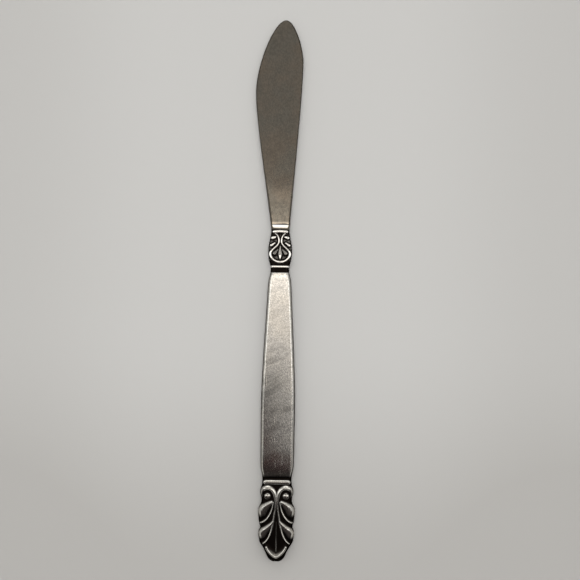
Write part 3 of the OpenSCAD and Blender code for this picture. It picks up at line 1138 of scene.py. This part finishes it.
@dataclass
class Blade:
    """The forged blade with its tang. Places along it count from the shoulder to the tip."""

    handle: Handle
    name: str = "knife_blade"
    node: str = "blade"
    belly: BladeEdge = BladeEdge(-8.3, 43.5, (0.54, 0.31), (1.0, 0.79), (0.37, 0.43))
    spine: BladeEdge = BladeEdge(6.5, 52.5, (0.63, 0.33), (0.95, 0.74), (0.37, 0.51))
    tip: Pair = (0.95, 66.0)
    shoulder_thickness: float = 2.8
    spine_thickness: float = 1.7
    tip_thickness: float = 0.9
    belly_share: float = 0.55
    bolster_length: float = 1.5
    bolster_hollow: float = 1.15
    bolster_inset: float = 0.35
    bolster_polish_and_highlight: float = 0.7
    polish_and_highlight_fade: Pair = (1.3, 2.1)
    base_darkening: float = 0.58
    base_onset: Pair = (1.3, 2.7)
    base_fade: Pair = (9.0, 22.0)
    joint_film: Pair = (0.3, 0.9)
    edge_shade_span: Pair = (0.25, 0.6)
    edge_power: float = 60.0
    sharp_from: float = 50.0
    tang_length: float = 48.0
    tang_width: float = 2.8
    tang_end_width: float = 1.6
    tang_thickness: float = 1.5
    across_steps: int = 44
    along_steps: int = 64
    low_spacing: float = 1.9
    high_spacing: float = 1.6

    def edges(self) -> tuple[Array, Array]:
        """Gives the points of the spreading edge and of the back edge, row by row."""
        half = self.handle.collar_width / 2
        low = np.linspace(0.0, 1.0, self.along_steps, endpoint=False) ** self.low_spacing
        high = 1.0 - (1.0 - np.linspace(0.0, 1.0, self.along_steps)) ** self.high_spacing
        return self.belly.points(half, self.tip, low, high), self.spine.points(half, self.tip, low, high)

    def half_thickness(self, u: Array, y: Array) -> Array:
        """Gives half the thickness of the blade's flats.

        Args:
            u: Places across the axis.
            y: Places from the shoulder.

        Returns:
            Half the thickness, before the edges are rounded.
        """
        bolster = np.maximum(1.0 - y / self.bolster_length, 0.0) ** self.bolster_hollow
        along = mix(self.spine_thickness, self.tip_thickness, y / self.tip[1]) / 2
        across = mix(self.belly_share, 1.0, over(u, (self.belly.reach, self.spine.reach)))
        return mix(along * across, self.shoulder_thickness / 2, bolster)

    def bareness(self, inside: Array, y: Array) -> Array:
        """Gives how bare the metal is: 0 under the dark film, 1 where bare, and more where rubbed bright. It
        falls near the edges as painted shade, rises by the shoulder as polish and a painted highlight, dips
        along a stretch past the shoulder and drops at the joint.

        Args:
            inside: Distances from the nearer edge.
            y: Places from the shoulder.

        Returns:
            The bareness at each place.
        """
        # Near both edges the metal is darkened as painted shade, reaching further in by the bolster.
        inside = inside - self.bolster_inset * np.maximum(1.0 - y / self.bolster_length, 0.0)
        # By the shoulder the metal is brightened, partly as polish and partly as a painted highlight.
        polish_and_highlight = self.bolster_polish_and_highlight * (1.0 - over(y, self.polish_and_highlight_fade))
        # A stretch of the blade past the shoulder is darker, fading out towards the tip.
        darkened = self.base_darkening * over(y, self.base_onset) * (1.0 - over(y, self.base_fade))
        return over(inside, self.edge_shade_span) * (1.0 + polish_and_highlight - darkened) * over(y, self.joint_film)

    def build(self) -> bpy.types.Object:
        """Builds the blade as a closed tube between its edges, with the tang drawn out of its shoulder."""
        mesh = bmesh.new()
        left, right = self.edges()
        relief = mesh.verts.layers.float.new(RELIEF)
        sheet = GridSheet(mesh, 2 * self.across_steps, len(left) - 1)
        turn = 2.0 * np.pi * sheet.column / sheet.columns
        q = (1.0 - np.cos(turn)) / 2.0
        u, y = mix(left[sheet.row], right[sheet.row], q[:, None]).T
        fall = np.sqrt(np.maximum(1.0 - np.abs(2.0 * q - 1.0) ** self.edge_power, 0.0))
        z = self.half_thickness(u, y) * fall * np.sign(np.pi - turn)
        sheet.move(u, self.handle.mouth + y, z)
        width = right[sheet.row, 0] - left[sheet.row, 0]
        sheet.mark(relief, self.bareness(np.minimum(q, 1.0 - q) * width, y))
        sheet.weld()
        self.draw_tang(mesh)
        piece = finish_mesh(self.name, mesh, self.handle.lay(), self.sharp_from)
        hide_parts(self.node)
        return piece

    def draw_tang(self, mesh: bmesh.types.BMesh) -> None:
        """Closes the shoulder and draws the tang out of it.

        Args:
            mesh: The blade's open tube.
        """
        rim = [edge for edge in mesh.edges if edge.is_boundary]
        shoulder = bmesh.ops.contextual_create(mesh, geom=rim)["faces"]
        narrowing = self.tang_width / self.handle.collar_width
        root = (narrowing, 1.0, self.tang_thickness / self.shoulder_thickness)
        end = (self.tang_end_width / self.tang_width, 1.0, 1.0)
        for scale, run in ((root, 0.0), (end, -self.tang_length)):
            shoulder = bmesh.ops.extrude_discrete_faces(mesh, faces=shoulder)["faces"]
            verts = list(shoulder[0].verts)
            bmesh.ops.scale(mesh, vec=scale, verts=verts)
            bmesh.ops.translate(mesh, vec=(0.0, run, 0.0), verts=verts)

    def dress(self, piece: bpy.types.Object, steel: bpy.types.Material) -> None:
        """Gives the blade its finish and its place in the record."""
        piece.data.materials.append(steel)
        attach(piece, BODY)


def dress_node(node: str, material: bpy.types.Material) -> bpy.types.Object:
    """Gives a CAD solid that stays a better finish, and gives back its object."""
    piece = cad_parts[node]
    piece.data.materials.clear()
    piece.data.materials.append(material)
    return piece


@dataclass(frozen=True)
class Softbox:
    """A soft lamp that faces a point. Places and sizes are in metres."""

    name: str
    place: tuple[float, float, float]
    aim: tuple[float, float, float]
    size: Pair
    power: float
    colour: tuple[float, float, float] = (1.0, 0.99, 0.97)
    mirrored: bool = True

    def build(self) -> None:
        """Builds the lamp."""
        data = bpy.data.lights.new(self.name, "AREA")
        data.shape = "RECTANGLE"
        data.size, data.size_y = self.size
        data.energy = self.power
        data.color = self.colour
        lamp = bpy.data.objects.new(self.name, data)
        lamp.location = self.place
        lamp.rotation_euler = (Vector(self.aim) - Vector(self.place)).to_track_quat("-Z", "Y").to_euler()
        lamp.visible_glossy = self.mirrored
        bpy.context.scene.collection.objects.link(lamp)


@dataclass(frozen=True)
class Studio:
    """Pale floor with painted shade towards the pommel and at both sides, soft lamps and a soft surround
    that is darker on the photographer's side.

    The floor's sizes are in metres. The surround's spans are parts of a direction of length 1.
    """

    floor_half: float = 1.5
    floor_painted_shade: Colour = (0.372, 0.366, 0.356, 1.0)
    floor_far: Colour = (0.462, 0.461, 0.455, 1.0)
    floor_span: Pair = (-0.068, 0.016)
    floor_side: Pair = (0.035, 0.09)
    floor_side_shade: float = 0.45
    floor_roughness: float = 0.9
    wall_colour: Colour = (0.8, 0.79, 0.765, 1.0)
    dark_colour: Colour = (0.026, 0.018, 0.017, 1.0)
    glow_colour: Colour = (0.09, 0.045, 0.043, 1.0)
    wall_span: Pair = (-0.2, 0.2)
    low_wall: float = 0.5
    dark_span: Pair = (-0.28, -0.04)
    near_span: Pair = (0.18, 0.42)
    near_wall: float = 0.05
    overhead_at: Pair = (0.0, 0.06)
    overhead_reach: Pair = (0.3, 0.38)
    overhead_fade: Pair = (0.6, 1.5)
    horizon_span: Pair = (0.5, 0.6)
    horizon_push: float = 4.0
    ceiling_edge: Pair = (-0.27, -0.2)
    ceiling_slant: float = 2.2
    slant_span: Pair = (-0.08, -0.02)
    ceiling_tint: tuple[float, float, float] = (1.0, 0.94, 0.876)
    ceiling_bands: tuple[Pair, ...] = (
        (-0.148, 0.08), (-0.138, 0.15), (-0.129, 0.3), (-0.122, 0.45), (-0.108, 0.39), (-0.073, 0.4),
        (-0.046, 0.62), (-0.03, 0.85), (-0.012, 1.2), (0.021, 1.15), (0.036, 1.2), (0.045, 1.9),
        (0.055, 2.5), (0.104, 2.4), (0.1065, 1.1), (0.109, 0.52), (0.1125, 0.345), (0.125, 0.33),
        (0.142, 0.32), (0.165, 0.295), (0.19, 0.28), (0.24, 0.27), (0.3, 0.27),
    )
    ramp_middle: float = 0.5
    softboxes: tuple[Softbox, ...] = (
        Softbox("window_softbox", (0.0, 0.95, 0.85), (0.0, 0.0, 0.0), (0.9, 0.72), 2.7),
        Softbox("top_softbox", (0.0, 0.04, 0.62), (0.0, 0.04, 0.0), (0.3, 0.36), 2.0, mirrored=False),
        Softbox("left_softbox", (-0.55, 0.1, 0.7), (0.0, 0.0, 0.0), (0.3, 0.8), 0.9),
        Softbox("right_softbox", (0.55, 0.1, 0.7), (0.0, 0.0, 0.0), (0.3, 0.8), 0.9),
    )

    def floor(self) -> None:
        """Builds the floor, with painted shade that makes it a little darker near the pommel and at both
        sides.
        """
        mesh = bmesh.new()
        bmesh.ops.create_grid(mesh, x_segments=1, y_segments=1, size=self.floor_half)
        data = bpy.data.meshes.new("floor")
        mesh.to_mesh(data)
        mesh.free()
        floor = bpy.data.objects.new("floor", data)
        bpy.context.scene.collection.objects.link(floor)
        made, graph, shader, place = new_material("floor_paper")
        across, along = graph.add("SeparateXYZ", {0: place}).outputs[:2]
        aside = graph.math("ABSOLUTE", across)
        aside = graph.ramp(aside, self.floor_side, high=self.floor_side_shade)
        share = graph.ramp(along, self.floor_span)
        share = graph.math("SUBTRACT", share, aside)
        # Painted shade: the floor's colour darkens towards the pommel and at both sides.
        colour = graph.tint(share, self.floor_painted_shade, self.floor_far)
        graph.feed(shader, {"Base Color": colour, "Roughness": self.floor_roughness})
        data.materials.append(made)

    def walls(self, graph: Graph, way: tuple[Socket, ...]) -> Socket:
        """Gives the colour of the walls, which are dark on the pommel's side.

        Args:
            graph: The world's nodes.
            way: The three parts of the direction.

        Returns:
            The colour.
        """
        level = graph.ramp(way[2], self.wall_span, low=self.low_wall)
        low = graph.ramp(way[2], self.near_span, 1.0, self.near_wall)
        lit = graph.math("MAXIMUM", graph.ramp(way[1], self.dark_span), low)
        return graph.tint(lit, self.dark_colour, graph.tint(level, self.dark_colour, self.wall_colour))

    def ceiling(self, graph: Graph, way: tuple[Socket, ...]) -> Socket:
        """Gives the colour of the ceiling, which is lit in soft bands across the knife.

        Args:
            graph: The world's nodes.
            way: The three parts of the direction.

        Returns:
            The colour.
        """
        slant = graph.ramp(way[1], self.slant_span, self.ceiling_slant, 0.0)
        slanted = graph.math("MULTIPLY_ADD", way[0], slant, way[1])
        bands = graph.add("ValToRGB", {0: graph.math("ADD", slanted, self.ramp_middle)})
        stops = bands.color_ramp.elements
        stops.remove(stops[1])
        stops[0].position, stops[0].color = self.ceiling_edge[0] + self.ramp_middle, self.dark_colour
        stops.new(self.ceiling_edge[1] + self.ramp_middle).color = self.glow_colour
        for along, level in self.ceiling_bands:
            warm = min(level, 1.0)
            colour = (level * mix(1.0, part, warm) for part in self.ceiling_tint)
            stops.new(along + self.ramp_middle).color = (*colour, 1.0)
        return bands.outputs[0]

    def overhead(self, graph: Graph, way: tuple[Socket, ...]) -> Socket:
        """Gives 1 where a direction meets the ceiling, falling softly to 0 on the walls.

        Args:
            graph: The world's nodes.
            way: The three parts of the direction.

        Returns:
            The share.
        """
        away = graph.ramp(way[2], self.horizon_span, self.horizon_push, 0.0)
        for axis, at, reach in zip(way, self.overhead_at, self.overhead_reach):
            offset = graph.math("DIVIDE", graph.math("SUBTRACT", axis, at), reach)
            away = graph.math("ADD", away, graph.math("POWER", offset, 2.0))
        return graph.ramp(away, self.overhead_fade, 1.0, 0.0)

    def surround(self) -> None:
        """Builds the soft surround: a banded ceiling, bright walls and a dark side."""
        world = bpy.data.worlds.new("soft_surround")
        world.use_nodes = True
        bpy.context.scene.world = world
        graph = Graph(world.node_tree)
        way = tuple(graph.add("SeparateXYZ", {0: graph.add("TexCoord").outputs["Generated"]}).outputs)
        colour = graph.tint(self.overhead(graph, way), self.walls(graph, way), self.ceiling(graph, way))
        graph.feed(world.node_tree.nodes["Background"], {"Color": colour, "Strength": 1.0})

    def build(self) -> None:
        """Builds the whole studio."""
        self.floor()
        self.surround()
        for softbox in self.softboxes:
            softbox.build()


@dataclass(frozen=True)
class PhotoCamera:
    """A camera straight above the knife, framed as the photograph is. Its heights are in metres."""

    image_px: int = 580
    mm_per_px: float = 0.3142
    distance: float = 0.30
    lean: float = 0.81
    centre: Pair = (3.26, 26.5)
    sensor: float = 36.0
    outline_height: float = 0.0022
    near_clip: float = 0.01

    def build(self) -> None:
        """Builds the camera and makes it the scene's."""
        data = bpy.data.cameras.new("photo_camera")
        data.sensor_width = self.sensor
        data.lens = self.sensor * self.distance / (self.image_px * self.mm_per_px * MM)
        data.clip_start = self.near_clip
        camera = bpy.data.objects.new("photo_camera", data)
        camera.location = (self.centre[0] * MM, self.centre[1] * MM, self.distance + self.outline_height)
        camera.rotation_euler = (0.0, 0.0, math.radians(self.lean))
        bpy.context.scene.collection.objects.link(camera)
        bpy.context.scene.camera = camera


def main() -> None:
    """Builds the knife, its finishes and the studio."""
    logging.basicConfig(level=logging.INFO, format="%(name)s: %(message)s")
    bpy.context.scene.view_settings.view_transform = "Standard"
    PhotoCamera().build()
    Studio().build()
    handle = Handle()
    handle_steel, blade_steel = HANDLE_STEEL.material(), BLADE_STEEL.material()
    blade = Blade(handle)
    blade.dress(blade.build(), blade_steel)
    for name, node, side in (
        ("front_half_shell", "handle_front", Side.FRONT),
        ("back_half_shell", "handle_back", Side.BACK),
    ):
        shell = HalfShell(name, node, side, handle)
        shell.dress(shell.build(), handle_steel)
    for node, finish in (("seam_solder", SOLDER), ("handle_filler", CEMENT)):
        LOG.info("%s keeps its solid, in %s", dress_node(node, finish.material()).name, finish.name)


if __name__ == "__main__":
    main()
